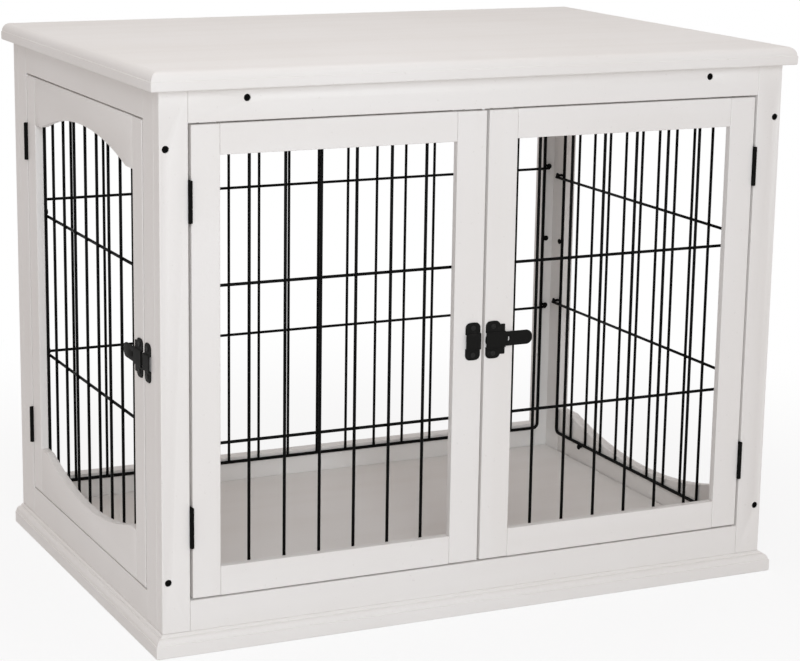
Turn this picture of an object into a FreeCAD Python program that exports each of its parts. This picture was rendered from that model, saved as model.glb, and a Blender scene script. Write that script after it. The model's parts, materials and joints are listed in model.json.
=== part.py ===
"""Dog crate end table: a painted wooden cabinet with wire grilles, two front doors and one side door.

Millimetres. +X runs along the length, -Y is the front, +Z is up. The origin is on the floor, under the
middle of the table top.
"""
import FreeCAD, Part
import Sketcher
import math
import os
import re

V = FreeCAD.Vector
Rotation = FreeCAD.Rotation
Placement = FreeCAD.Placement

doc = FreeCAD.newDocument("dog_crate_end_table")
sheet = doc.addObject("Spreadsheet::Sheet", "sizes")

# name, value in millimetres (or a count or degrees), what it is
SIZES = [
    ("body_width", 796, "outside width of the cabinet body"),
    ("body_depth", 546, "outside depth of the cabinet body"),
    ("base_height", 25.3, "height of the base rails"),
    ("frame_height", 614.3, "height of the four framed walls"),
    ("frame_thick", 18, "thickness of the front and back frames"),
    ("side_thick", 15, "thickness of the side walls"),
    ("stile_width", 33.3, "width of the front and back stiles"),
    ("post_width", 34.25, "width of the side posts"),
    ("rail_height", 36, "height of the top and bottom rails"),
    ("soft_edge", 0.5, "chamfer along the long edges of the wooden pieces"),
    ("overhang_side", 13, "table top past the body at each side"),
    ("overhang_front", 12.5, "table top past the body at the front"),
    ("overhang_back", 9.5, "table top past the body at the back"),
    ("top_thick", 21.4, "thickness of the table top"),
    ("lip_width", 10.5, "width of the moulded lipping round the top"),
    ("lip_face", 10.7, "height of the plain face of the lipping"),
    ("lip_ledge", 1.5, "small ledge under the thumb moulding"),
    ("lip_radius", 14, "radius of the thumb moulding"),
    ("low_round", 2, "radius under the lipping and the base rails"),
    ("base_proud", 11, "base rails past the body at the front and sides"),
    ("base_face", 16, "height of the plain face of the base rails"),
    ("base_ledge", 1.5, "small ledge under the ogee of the base rails"),
    ("ogee_radius", 7, "radius of each half of the ogee"),
    ("floor_thick", 15, "thickness of the floor board"),
    ("floor_rise", 3.2, "top of the floor board over the base rails"),
    ("floor_gap", 0.5, "free edge round the floor board"),
    ("floor_ledge", 12, "width of the ledge that carries the floor board"),
    ("batten_width", 30, "width of the two battens under the top"),
    ("batten_height", 22.4, "height of the two battens under the top"),
    ("batten_inset", 68.7, "battens' middles in from the front stiles"),
    ("door_thick", 15, "thickness of the doors"),
    ("door_gap", 3.5, "upright gaps beside the doors"),
    ("door_end_gap", 2, "gaps over and under the doors"),
    ("door_rail", 34.3, "height of the door rails, at their narrowest"),
    ("hinge_stile", 33.5, "width of the front doors' hinge stiles"),
    ("latch_stile", 37, "width of the front doors' latch stiles"),
    ("side_stile", 32, "width of the side door's stiles"),
    ("rabbet_depth", 5, "depth of the recess that holds a door's grille"),
    ("rabbet_stile", 24, "recess past the window, sideways"),
    ("rabbet_rail", 15, "recess past the window, up and down"),
    ("arch_rise", 25, "rise of the side door's arches"),
    ("arch_shoulder", 24, "straight shoulder beside the side door's arches"),
    ("wall_arch_rise", 28, "rise of the right wall's arches"),
    ("wall_arch_shoulder", 32, "straight shoulder beside the right wall's arches"),
    ("arch_blend", 16, "rounding where an arch meets its shoulder"),
    ("wire", 3.2, "inner wires of the grilles, across"),
    ("rim_wire", 4, "outer wire of the grilles, across"),
    ("rim_corner", 5, "corner cut of the outer wire"),
    ("rim_past", 6, "outer wire past the opening"),
    ("door_wire_count", 6, "upright inner wires in a front door"),
    ("front_grille_past", 7.6, "sides of a front door's grille past the window, on the wire's middle"),
    ("left_grille_shift", 3, "left door's grille sits off the middle of its window, to the right"),
    ("middle_grille_shift", 0.4, "right door's grille, the same way"),
    ("side_wire_count", 8, "upright inner wires in the side door"),
    ("side_grille_past", 8, "sides of the side door's and right wall's grilles past their openings"),
    ("back_wire_count", 16, "upright inner wires in the back wall"),
    ("right_wire_count", 10, "upright inner wires in the right wall"),
    ("right_grille_shift", 8, "right wall's grille sits forward of the middle"),
    ("back_grille_shift", 3.6, "back grille sits off the middle, to the left"),
    ("side_grille_in", 7, "rear side of the side door's grille drawn in from its even place"),
    ("front_cross_low", 176.7, "front doors' lower cross wires over the foot of the opening"),
    ("front_cross_high", 184.6, "front doors' upper cross wires under the head of the opening"),
    ("side_cross_low", 183.2, "lower cross wires of the side door and right wall, the same way"),
    ("side_cross_high", 178.6, "upper cross wires of the side door and right wall, the same way"),
    ("back_cross_low", 173.7, "back wall's lower cross wires, the same way"),
    ("back_cross_high", 167.6, "back wall's upper cross wires, the same way"),
    ("back_cross_past", 6.4, "back wall's cross wires past the outer wire's middle"),
    ("right_cross_past", 17.5, "right wall's cross wires, the same way"),
    ("screw_head", 7.5, "head of the grille screws, across"),
    ("screw_head_thick", 1.8, "thickness of those heads"),
    ("screw_neck", 3.6, "neck of the grille screws, across"),
    ("screw_slack", 0.1, "gap between a screw's neck and its wire"),
    ("screw_aside", 6, "screws of a door's outer wire, beside the cross wires"),
    ("front_end_screws", 15, "front doors' upper and lower screws in from their grille's sides"),
    ("side_end_screws", 43, "side door's upper and lower screws, the same way"),
    ("right_end_screws", 69.8, "right wall's upper and lower screws, the same way"),
    ("back_end_screws", 130, "back wall's upper and lower screws, the same way"),
    ("screw_sides", 6, "flats of a grille screw's head"),
    ("bolt_head", 8, "head of the frame bolts, across"),
    ("bolt_head_thick", 5, "thickness of those heads"),
    ("bolt_sink", 1, "heads below the wood"),
    ("bolt_slack", 0.1, "gap round a bolt's head, on the radius"),
    ("bolt_down", 63.3, "upper bolts under the table top"),
    ("bolt_up", 60.1, "lower bolts over the base rails"),
    ("leaf_height", 47, "height of the hinges"),
    ("leaf_width", 13, "width of a hinge leaf, front to back"),
    ("leaf_thick", 1.4, "thickness of a hinge leaf"),
    ("knuckle", 5, "hinge knuckle, across"),
    ("knuckle_sides", 10, "flats of a hinge knuckle"),
    ("knuckle_slack", 0.15, "gap between two knuckles"),
    ("pin", 2.4, "hinge pin, across"),
    ("pin_slack", 0.05, "gap round the pin, on the radius"),
    ("hinge_proud", 2, "hinge axis in front of the doors"),
    ("hinge_in", 84.1, "middles of the hinges in from the ends of the doors"),
    ("latch_drop", 0.5, "middle of the latches under the middle of the doors"),
    ("strap_length", 61, "length of a latch bolt"),
    ("strap_height", 17, "height of a latch bolt"),
    ("strap_thick", 2.5, "thickness of a latch bolt"),
    ("strap_round", 7.5, "corner radius of a latch bolt"),
    ("strap_slack", 0.1, "gap round the bolt in its guides"),
    ("strap_travel", 33, "travel of a latch bolt"),
    ("strap_tail", 30.4, "bolt's tail past the middle of the gap when shut"),
    ("strap_slot_width", 2.5, "finger slot in the bolt"),
    ("strap_slot_height", 6, "finger slot in the bolt"),
    ("plate_width", 19, "width of a latch plate"),
    ("plate_height", 45, "height of a latch plate"),
    ("plate_thick", 1.2, "thickness of a latch plate"),
    ("plate_round", 6, "corner radius of a latch plate"),
    ("guide_place", 2.8, "guide plate's edge from the middle of the gap"),
    ("keeper_place", 4.6, "keeper's edge from the middle of the gap"),
    ("guide_ear", 6, "width of the narrow second guide"),
    ("guide_ear_height", 36, "height of the narrow second guide"),
]
for row, (name, value, note) in enumerate(SIZES, 1):
    sheet.set(f"A{row}", note)
    sheet.set(f"B{row}", str(value))
    sheet.setAlias(f"B{row}", name)
doc.recompute()

ALIASES = {name for name, _, _ in SIZES}


def bound(text):
    """An expression on the sheet's names, as the document writes it."""
    return re.sub(r"[a-z_]+", lambda m: "sizes." + m.group(0) if m.group(0) in ALIASES else m.group(0), text)


def size(text):
    """The number that an expression on the sheet's names gives now."""
    value = sheet.evalExpression(bound(text).replace("sizes.", ""))
    return float(getattr(value, "Value", value))


def tie(thing, prop, text):
    thing.setExpression(prop, bound(text))


def place(piece, x, y, z, turn=0):
    """Seats a piece: its own corner goes to x, y, z, turned about +Z by so many degrees."""
    piece.Placement = Placement(V(0, 0, 0), Rotation(V(0, 0, 1), turn))
    for axis, text in zip("xyz", (x, y, z)):
        tie(piece, f"Placement.Base.{axis}", text)


# places that many pieces share
LEFT = "(-body_width / 2)"
RIGHT = "(body_width / 2)"
FRONT = "((overhang_front - overhang_back - body_depth) / 2)"
BACK = "((overhang_front - overhang_back + body_depth) / 2)"
TOP = "(base_height + frame_height)"
OPEN_LOW = "(base_height + rail_height)"
OPEN_HIGH = "(base_height + frame_height - rail_height)"
OPEN_HALF = "(body_width / 2 - stile_width)"
SIDE_OPEN = "(body_depth - 2 * frame_thick - 2 * post_width)"
DOOR_LOW = "(base_height + rail_height + door_end_gap)"
DOOR_HEIGHT = "(frame_height - 2 * rail_height - 2 * door_end_gap)"
DOOR_WIDTH = "(body_width / 2 - stile_width - 1.5 * door_gap)"
SIDE_DOOR_WIDTH = f"({SIDE_OPEN} - 2 * door_gap)"
WINDOW_WIDTH = f"({DOOR_WIDTH} - hinge_stile - latch_stile)"
WINDOW_HEIGHT = f"({DOOR_HEIGHT} - 2 * door_rail)"
SIDE_WINDOW = f"({SIDE_DOOR_WIDTH} - 2 * side_stile)"


def new_body(name):
    body = doc.addObject("PartDesign::Body", name)
    body.Label = name
    return body


def origin_item(body, role):
    return next(o for o in body.Origin.OriginFeatures if o.Role == role)


def new_sketch(body, role, tag, lift=None):
    sketch = body.newObject("Sketcher::SketchObject", f"{body.Name}_{tag}")
    sketch.AttachmentSupport = (origin_item(body, role), [""])
    sketch.MapMode = "FlatFace"
    if lift:
        tie(sketch, "AttachmentOffset.Base.z", lift)
    return sketch


def centre_of_arc(a, b, radius, side):
    """Middle of the arc from a to b that lies on its left (1) or right (-1)."""
    half = (b - a) * 0.5
    away = V(-half.y, half.x, 0)
    away.normalize()
    return a + half + away * (side * math.sqrt(max(radius * radius - half.Length ** 2, 0.0)))


def outline(sketch, points):
    """A closed outline. A point is (x, y), or (x, y, radius, side) where an arc leads to it."""
    spots = [V(size(p[0]), size(p[1]), 0) for p in points]
    first = sketch.GeometryCount
    for i, p in enumerate(points):
        a, b = spots[i - 1], spots[i]
        if len(p) == 2:
            sketch.addGeometry(Part.LineSegment(a, b), False)
            continue
        radius = size(p[2])
        centre = centre_of_arc(a, b, radius, p[3])
        start = math.atan2(a.y - centre.y, a.x - centre.x)
        end = math.atan2(b.y - centre.y, b.x - centre.x)
        if p[3] < 0:
            start, end = end, start
        circle = Part.Circle(centre, V(0, 0, 1), radius)
        if end < start:
            end += 2 * math.pi
        sketch.addGeometry(Part.ArcOfCircle(circle, start, end), False)
    count = len(points)
    rule = Sketcher.Constraint

    def ends(i):
        """The names of a piece's first and last point."""
        return (2, 1) if len(points[i]) > 2 and points[i][3] < 0 else (1, 2)

    for i, p in enumerate(points):
        here, after = first + i, first + (i + 1) % count
        last, begin = ends(i)[1], ends((i + 1) % count)[0]
        sketch.addConstraint(rule("Coincident", here, last, after, begin))
        for kind, axis, text, value in (
            ("DistanceX", -2, p[0], spots[i].x),
            ("DistanceY", -1, p[1], spots[i].y),
        ):
            if abs(value) < 1e-9:
                sketch.addConstraint(rule("PointOnObject", here, last, axis))
            else:
                n = sketch.addConstraint(rule(kind, -1, 1, here, last, value))
                sketch.setExpression(f"Constraints[{n}]", bound(text))
        if len(p) > 2:
            n = sketch.addConstraint(rule("Radius", here, size(p[2])))
            sketch.setExpression(f"Constraints[{n}]", bound(p[2]))


def rectangle(x0, y0, x1, y1):
    return [(x0, y0), (x1, y0), (x1, y1), (x0, y1)]


def circle(sketch, x, y, radius):
    rule = Sketcher.Constraint
    i = sketch.addGeometry(Part.Circle(V(size(x), size(y), 0), V(0, 0, 1), size(radius)), False)
    for kind, text in (("DistanceX", x), ("DistanceY", y)):
        n = sketch.addConstraint(rule(kind, -1, 1, i, 3, size(text)))
        sketch.setExpression(f"Constraints[{n}]", bound(text))
    n = sketch.addConstraint(rule("Radius", i, size(radius)))
    sketch.setExpression(f"Constraints[{n}]", bound(radius))


def pad(body, sketch, length, reverse=False, both=False):
    feature = body.newObject("PartDesign::Pad", f"{sketch.Name}_pad")
    feature.Profile = sketch
    tie(feature, "Length", length)
    feature.Reversed = reverse
    feature.Midplane = both
    doc.recompute()
    return feature


def pocket(body, sketch, depth=None, reverse=False):
    """Cuts a sketch's outline away, through everything when no depth is given."""
    before = body.Shape.Volume
    feature = body.newObject("PartDesign::Pocket", f"{sketch.Name}_pocket")
    feature.Profile = sketch
    if depth is None:
        feature.Type = "ThroughAll"
        feature.Midplane = True
    else:
        tie(feature, "Length", depth)
        feature.Reversed = reverse
    doc.recompute()
    if not body.Shape.Volume < before - 0.1:
        raise RuntimeError(f"{sketch.Name} cuts nothing")
    return feature


def pattern(body, features, axis, length, copies):
    feature = body.newObject("PartDesign::LinearPattern", f"{body.Name}_{axis}_row_{len(body.Group)}")
    feature.Originals = features
    feature.Direction = (origin_item(body, f"{axis}_Axis"), [""])
    tie(feature, "Length", length)
    tie(feature, "Occurrences", copies)
    body.Tip = feature
    doc.recompute()
    return feature


def edges_where(shape, test):
    return [f"Edge{i}" for i, e in enumerate(shape.Edges, 1) if test(e)]


def ends_of(edge):
    return edge.Vertexes[0].Point, edge.Vertexes[-1].Point


def along(axis):
    """Tests that an edge is straight and runs along an axis."""
    def test(edge):
        a, b = ends_of(edge)
        d = b - a
        return d.Length > 1e-6 and abs(getattr(d, axis)) > 0.999 * d.Length
    return test


def soften(body, test, text="soft_edge", kind="Chamfer"):
    base = body.Tip
    feature = body.newObject(f"PartDesign::{kind}", f"{body.Name}_{kind.lower()}_{len(body.Group)}")
    feature.Base = (base, edges_where(base.Shape, test))
    tie(feature, "Size" if kind == "Chamfer" else "Radius", text)
    doc.recompute()
    return feature


def board(name, dx, dy, dz, x, y, z, grain=None, turn=0):
    """A straight wooden piece with softened long edges. Its corner is at x, y, z."""
    body = new_body(name)
    sketch = new_sketch(body, "XY_Plane", "section")
    outline(sketch, rectangle("0", "0", dx, dy))
    pad(body, sketch, dz)
    if grain:
        soften(body, along(grain))
    place(body, x, y, z, turn)
    return body


def bore(body, tag, x, z, radius, depth):
    """A round hole from the front of a piece."""
    sketch = new_sketch(body, "XZ_Plane", tag)
    circle(sketch, x, z, radius)
    return pocket(body, sketch, depth)


# ---------------------------------------------------------------- base
def base_rail(name, length, wall, x, y, turn, miter_start, miter_end, plain=False):
    """A base rail: plain face, ledge and ogee outside, and a ledge for the floor board inside."""
    body = new_body(name)
    proud = "0" if plain else "base_proud"
    inner = f"({proud} + {wall})"
    ledge_top = "(base_height + floor_rise - floor_thick)"
    sketch = new_sketch(body, "YZ_Plane", "profile")
    inside = [
        (inner, "base_height"),
        (inner, ledge_top),
        (f"{inner} + floor_ledge", ledge_top),
        (f"{inner} + floor_ledge", "0"),
    ]
    if plain:
        points = [("0", "0"), ("0", "base_height")] + inside
    else:
        points = [
            ("low_round", "0"),
            ("0", "low_round", "low_round", -1),
            ("0", "base_face"),
            ("base_ledge", "base_face"),
            ("(base_ledge + base_proud) / 2", "(base_face + base_height) / 2", "ogee_radius", -1),
            ("base_proud", "base_height", "ogee_radius", 1),
        ] + inside
    outline(sketch, points)
    pad(body, sketch, length)
    miter(body, length, f"({inner} + floor_ledge)", miter_start, miter_end)
    place(body, x, y, "0", turn)
    return body


def miter(body, length, depth, start, end):
    """Cuts the ends at 45 degrees, longest at the outside."""
    if start:
        sketch = new_sketch(body, "XY_Plane", "miter_start")
        outline(sketch, [("0", "0"), (depth, depth), ("0", depth)])
        pocket(body, sketch)
    if end:
        sketch = new_sketch(body, "XY_Plane", "miter_end")
        outline(sketch, [(length, "0"), (length, depth), (f"{length} - {depth}", depth)])
        pocket(body, sketch)


BASE_LEFT = "(-body_width / 2 - base_proud)"
BASE_FRONT = f"({FRONT} - base_proud)"
base_rail("base_rail_front", "(body_width + 2 * base_proud)", "frame_thick",
          BASE_LEFT, BASE_FRONT, 0, True, True)
base_rail("base_rail_left", "(body_depth + base_proud)", "side_thick",
          BASE_LEFT, BACK, -90, False, True)
base_rail("base_rail_right", "(body_depth + base_proud)", "side_thick",
          "(body_width / 2 + base_proud)", BASE_FRONT, 90, True, False)
base_rail("base_rail_back", "(body_width - 2 * side_thick - 2 * floor_ledge)", "frame_thick",
          "(body_width / 2 - side_thick - floor_ledge)", BACK, 180, False, False, plain=True)

board("floor_board",
      "(body_width - 2 * side_thick - 2 * floor_gap)",
      "(body_depth - 2 * frame_thick - 2 * floor_gap)",
      "floor_thick",
      f"({LEFT} + side_thick + floor_gap)",
      f"({FRONT} + frame_thick + floor_gap)",
      "(base_height + floor_rise - floor_thick)", "x")

# ---------------------------------------------------------------- front and back frames
SINK_RADIUS = "(bolt_head / 2 + bolt_slack)"
SINK_DEPTH = "(bolt_sink + bolt_head_thick)"

for wall, y in (("front", FRONT), ("back", f"({BACK} - frame_thick)")):
    bolted = wall == "front"
    for side, x, bolt_x in (
        ("left", LEFT, "(side_thick / 2)"),
        ("right", "(body_width / 2 - stile_width)", "(stile_width - side_thick / 2)"),
    ):
        stile = board(f"{wall}_stile_{side}", "stile_width", "frame_thick", "frame_height",
                      x, y, "base_height", "z")
        for tag, height in (("high", "(frame_height - bolt_down)"), ("low", "bolt_up")) if bolted else ():
            bore(stile, tag, bolt_x, height, SINK_RADIUS, SINK_DEPTH)
    rail_x = f"({LEFT} + stile_width)"
    rail_length = "(body_width - 2 * stile_width)"
    top_rail = board(f"{wall}_top_rail", rail_length, "frame_thick", "rail_height",
                     rail_x, y, OPEN_HIGH, "x")
    for tag, bolt_x in (("left", "batten_inset"), ("right", f"({rail_length} - batten_inset)")) if bolted else ():
        bore(top_rail, tag, bolt_x, "(rail_height - batten_height / 2)", SINK_RADIUS, SINK_DEPTH)
    board(f"{wall}_bottom_rail", rail_length, "frame_thick", "rail_height",
          rail_x, y, "base_height", "x")

# ---------------------------------------------------------------- side walls
SIDE_OPEN_FRONT = f"({FRONT} + frame_thick + post_width)"
for side, x in (("left", LEFT), ("right", "(body_width / 2 - side_thick)")):
    for end, y in (
        ("front", f"({FRONT} + frame_thick)"),
        ("back", f"({BACK} - frame_thick - post_width)"),
    ):
        board(f"{side}_{end}_post", "side_thick", "post_width", "frame_height",
              x, y, "base_height", "z")
board("left_top_rail", "side_thick", SIDE_OPEN, "rail_height",
      LEFT, SIDE_OPEN_FRONT, OPEN_HIGH, "y")
board("left_bottom_rail", "side_thick", SIDE_OPEN, "rail_height",
      LEFT, SIDE_OPEN_FRONT, "base_height", "y")


def arched_rail(name, length, thick, narrow, rise, shoulder, x, y, z, top, recess=None):
    """A rail whose inner edge is an arch between two shoulders. Its outline is drawn in YZ."""
    body = new_body(name)
    sketch = new_sketch(body, "YZ_Plane", "outline")
    half = f"({length} / 2 - {shoulder})"
    radius = f"(({half} * {half} + {rise} * {rise}) / (2 * {rise}))"
    wide = f"({narrow} + {rise})"
    if top:
        points = [
            ("0", "0"),
            (shoulder, "0"),
            (f"{length} - {shoulder}", "0", radius, -1),
            (length, "0"),
            (length, wide),
            ("0", wide),
        ]
    else:
        points = [
            ("0", "0"),
            (length, "0"),
            (length, wide),
            (f"{length} - {shoulder}", wide),
            (shoulder, wide, radius, -1),
            ("0", wide),
        ]
    outline(sketch, points)
    pad(body, sketch, thick)
    edge_z = 0.0 if top else size(wide)
    spots = (size(shoulder), size(length) - size(shoulder))

    def corner(edge):
        a, b = ends_of(edge)
        return along("x")(edge) and abs(a.z - edge_z) < 0.01 and min(abs(a.y - s) for s in spots) < 0.01

    soften(body, corner, "arch_blend", "Fillet")
    if recess:
        low, high = ("-1", f"({rise} + rabbet_rail)") if top else (f"({narrow} - rabbet_rail)", f"({wide} + 1)")
        sketch = new_sketch(body, "YZ_Plane", "recess", f"({thick} - rabbet_depth)")
        outline(sketch, rectangle("-1", low, f"({length} + 1)", high))
        pocket(body, sketch, "(rabbet_depth + 1)", reverse=True)
    place(body, x, y, z)
    return body


RIGHT_WALL = "(body_width / 2 - side_thick)"
arched_rail("right_bottom_rail", SIDE_OPEN, "side_thick", "rail_height", "wall_arch_rise",
            "wall_arch_shoulder", RIGHT_WALL, SIDE_OPEN_FRONT, "base_height", False)
arched_rail("right_top_rail", SIDE_OPEN, "side_thick", "rail_height", "wall_arch_rise",
            "wall_arch_shoulder", RIGHT_WALL, SIDE_OPEN_FRONT, f"({OPEN_HIGH} - wall_arch_rise)", True)

# ---------------------------------------------------------------- table top
TOP_LEFT = "(-body_width / 2 - overhang_side)"
TOP_FRONT = "(-(body_depth + overhang_front + overhang_back) / 2)"
TOP_WIDTH = "(body_width + 2 * overhang_side)"
TOP_DEPTH = "(body_depth + overhang_front + overhang_back)"
board("table_top_board", f"({TOP_WIDTH} - 2 * lip_width)", f"({TOP_DEPTH} - 2 * lip_width)", "top_thick",
      f"({TOP_LEFT} + lip_width)", f"({TOP_FRONT} + lip_width)", TOP)
for side, length, x, y, turn in (
    ("front", TOP_WIDTH, TOP_LEFT, TOP_FRONT, 0),
    ("right", TOP_DEPTH, f"(-{TOP_LEFT})", TOP_FRONT, 90),
    ("back", TOP_WIDTH, f"(-{TOP_LEFT})", f"(-{TOP_FRONT})", 180),
    ("left", TOP_DEPTH, TOP_LEFT, f"(-{TOP_FRONT})", -90),
):
    lipping = new_body(f"top_lipping_{side}")
    profile = new_sketch(lipping, "YZ_Plane", "profile")
    outline(profile, [
        ("low_round", "0"),
        ("0", "low_round", "low_round", -1),
        ("0", "lip_face"),
        ("lip_ledge", "lip_face"),
        ("lip_width", "top_thick", "lip_radius", -1),
        ("lip_width", "0"),
    ])
    pad(lipping, profile, length)
    miter(lipping, length, "lip_width", True, True)
    place(lipping, x, y, TOP, turn)

BATTEN = f"({OPEN_HALF} - batten_inset)"
for side, sign in (("left", "-"), ("right", "")):
    board(f"top_batten_{side}", "batten_width", "(body_depth - 2 * frame_thick)", "batten_height",
          f"({sign}{BATTEN} - batten_width / 2)", f"({FRONT} + frame_thick)",
          f"({TOP} - batten_height)", "y")


# ---------------------------------------------------------------- wooden parts of the doors
def door_stile(name, width, thick_axis, x, y, recess_side):
    """A door's stile, with the grille's recess along its inner back edge."""
    across = thick_axis == "y"
    dims = (width, "door_thick") if across else ("door_thick", width)
    body = board(name, dims[0], dims[1], DOOR_HEIGHT, x, y, DOOR_LOW, "z")
    low, high = "(door_rail - rabbet_rail)", f"({DOOR_HEIGHT} - door_rail + rabbet_rail)"
    near, far = (f"({width} - rabbet_stile)", f"({width} + 1)") if recess_side == "high" else ("-1", "rabbet_stile")
    if across:
        sketch = new_sketch(body, "XZ_Plane", "recess", "-(door_thick - rabbet_depth)")
    else:
        sketch = new_sketch(body, "YZ_Plane", "recess", "(door_thick - rabbet_depth)")
    outline(sketch, rectangle(near, low, far, high))
    pocket(body, sketch, "(rabbet_depth + 1)", reverse=not across)
    return body


def door_rail_piece(name, length, x, y, z, top):
    """A front door's rail, with the grille's recess along its inner back edge."""
    body = board(name, length, "door_thick", "door_rail", x, y, z, "x")
    low, high = ("-1", "rabbet_rail") if top else ("(door_rail - rabbet_rail)", "(door_rail + 1)")
    sketch = new_sketch(body, "XZ_Plane", "recess", "-(door_thick - rabbet_depth)")
    outline(sketch, rectangle("-1", low, f"({length} + 1)", high))
    pocket(body, sketch, "(rabbet_depth + 1)")
    return body


DOOR_TOP_RAIL = f"({DOOR_LOW} + {DOOR_HEIGHT} - door_rail)"
LEFT_DOOR = f"(-{OPEN_HALF} + door_gap)"
RIGHT_DOOR = "(door_gap / 2)"
for side, edge, first, second in (
    ("left", LEFT_DOOR, "hinge", "latch"),
    ("right", RIGHT_DOOR, "latch", "hinge"),
):
    first_width, second_width = f"{first}_stile", f"{second}_stile"
    door_stile(f"{side}_door_{first}_stile", first_width, "y", edge, FRONT, "high")
    door_stile(f"{side}_door_{second}_stile", second_width, "y",
               f"({edge} + {DOOR_WIDTH} - {second_width})", FRONT, "low")
    inner = f"({edge} + {first_width})"
    door_rail_piece(f"{side}_door_top_rail", WINDOW_WIDTH, inner, FRONT, DOOR_TOP_RAIL, True)
    door_rail_piece(f"{side}_door_bottom_rail", WINDOW_WIDTH, inner, FRONT, DOOR_LOW, False)

SIDE_DOOR_FRONT = f"({SIDE_OPEN_FRONT} + door_gap)"
door_stile("side_door_latch_stile", "side_stile", "x", LEFT, SIDE_DOOR_FRONT, "high")
door_stile("side_door_hinge_stile", "side_stile", "x", LEFT,
           f"({SIDE_DOOR_FRONT} + {SIDE_DOOR_WIDTH} - side_stile)", "low")
SIDE_INNER = f"({SIDE_DOOR_FRONT} + side_stile)"
arched_rail("side_door_bottom_rail", SIDE_WINDOW, "door_thick", "door_rail", "arch_rise", "arch_shoulder",
            LEFT, SIDE_INNER, DOOR_LOW, False, recess=True)
arched_rail("side_door_top_rail", SIDE_WINDOW, "door_thick", "door_rail", "arch_rise", "arch_shoulder",
            LEFT, SIDE_INNER, f"({DOOR_TOP_RAIL} - arch_rise)", True, recess=True)


# ---------------------------------------------------------------- wire grilles
def octagon(sketch, x, y, across):
    """The section of a drawn wire, as eight flats."""
    a, b = f"({across} / 2)", f"({across} * 0.20711)"
    outline(sketch, [(f"{x} {i} {p}", f"{y} {j} {q}") for i, p, j, q in (
        ("+", a, "-", b), ("+", a, "+", b), ("+", b, "+", a), ("-", b, "+", a),
        ("-", a, "+", b), ("-", a, "-", b), ("-", b, "-", a), ("+", b, "-", a))])


def grille(name, width, low, high, wires, cross, reach, x, y, turn, drawn_in="0"):
    """A welded grille that lies on the plane y = 0, from z = low to z = high. Its middle is at x, y.

    The outer wire is bent round the edge, the upright wires end in it, and two cross wires lie
    over them on the inner side. drawn_in sets the outer wire's -x side nearer to its neighbour.
    """
    body = new_body(name)
    sketch = new_sketch(body, "XZ_Plane", "rim")
    for grow, corner in (("+ rim_wire / 2", "rim_corner"), ("- rim_wire / 2", "(rim_corner * 0.5)")):
        e = f"({width} / 2 {grow})"
        w = f"({e} - {drawn_in})"
        lo, hi = f"({low} {'-' if '+' in grow else '+'} rim_wire / 2)", f"({high} {grow})"
        outline(sketch, [
            (f"-({w} - {corner})", lo), (f"{e} - {corner}", lo),
            (e, f"{lo} + {corner}"), (e, f"{hi} - {corner}"),
            (f"{e} - {corner}", hi), (f"-({w} - {corner})", hi),
            (f"-{w}", f"{hi} - {corner}"), (f"-{w}", f"{lo} + {corner}"),
        ])
    pad(body, sketch, "rim_wire", reverse=True)
    rim = size("rim_wire")

    def on_faces(edge):
        a, b = ends_of(edge)
        return abs(a.y - b.y) < 1e-6 and min(abs(a.y), abs(a.y - rim)) < 1e-6

    soften(body, on_faces, "rim_wire * 0.29289")
    pitch = f"({width} / ({wires} + 1))"
    sketch = new_sketch(body, "XY_Plane", "upright", low)
    octagon(sketch, f"(-{width} / 2 + {pitch})", "(rim_wire / 2)", "wire")
    upright = pad(body, sketch, f"({high} - {low})")
    pattern(body, [upright], "X", f"({pitch} * ({wires} - 1))", wires)
    sketch = new_sketch(body, "YZ_Plane", "cross")
    octagon(sketch, "(rim_wire / 2 + wire)", cross[0], "wire")
    across = pad(body, sketch, f"({width} + 2 * {reach})", both=True)
    pattern(body, [across], "Z", f"({cross[1]} - {cross[0]})", "2")
    place(body, x, y, "0", turn)
    return body


RECESS = f"({FRONT} + door_thick - rabbet_depth)"
SIDE_RECESS = f"({LEFT} + door_thick - rabbet_depth)"
DOOR_GRILLE_LOW = f"({DOOR_LOW} + door_rail - rim_past)"
DOOR_GRILLE_HIGH = f"({DOOR_LOW} + {DOOR_HEIGHT} - door_rail + rim_past)"
WALL_GRILLE_LOW = f"({OPEN_LOW} - rim_past)"
WALL_GRILLE_HIGH = f"({OPEN_HIGH} + rim_past)"
FRONT_GRILLE = f"({WINDOW_WIDTH} + 2 * front_grille_past)"
SIDE_GRILLE = f"({SIDE_WINDOW} + 2 * side_grille_past)"
RIGHT_GRILLE = f"({SIDE_OPEN} + 2 * side_grille_past)"
BACK_GRILLE = f"(2 * {OPEN_HALF} + 2 * rim_past)"
FRONT_CROSS = (f"({OPEN_LOW} + front_cross_low)", f"({OPEN_HIGH} - front_cross_high)")
SIDE_CROSS = (f"({OPEN_LOW} + side_cross_low)", f"({OPEN_HIGH} - side_cross_high)")
BACK_CROSS = (f"({OPEN_LOW} + back_cross_low)", f"({OPEN_HIGH} - back_cross_high)")
RIM_HALF = "(rim_wire / 2)"
WINDOW_MIDDLE = {
    "left": f"({LEFT_DOOR} + hinge_stile + {WINDOW_WIDTH} / 2 + left_grille_shift)",
    "right": f"({RIGHT_DOOR} + latch_stile + {WINDOW_WIDTH} / 2 + middle_grille_shift)",
}
SIDE_MIDDLE = f"({SIDE_DOOR_FRONT} + {SIDE_DOOR_WIDTH} / 2)"
RIGHT_MIDDLE = f"(({FRONT} + {BACK}) / 2 - right_grille_shift)"
BACK_SEAT = f"({BACK} - frame_thick)"
for side, middle in WINDOW_MIDDLE.items():
    grille(f"{side}_door_grille", FRONT_GRILLE, DOOR_GRILLE_LOW, DOOR_GRILLE_HIGH, "door_wire_count",
           FRONT_CROSS, RIM_HALF, middle, RECESS, 0)
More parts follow.
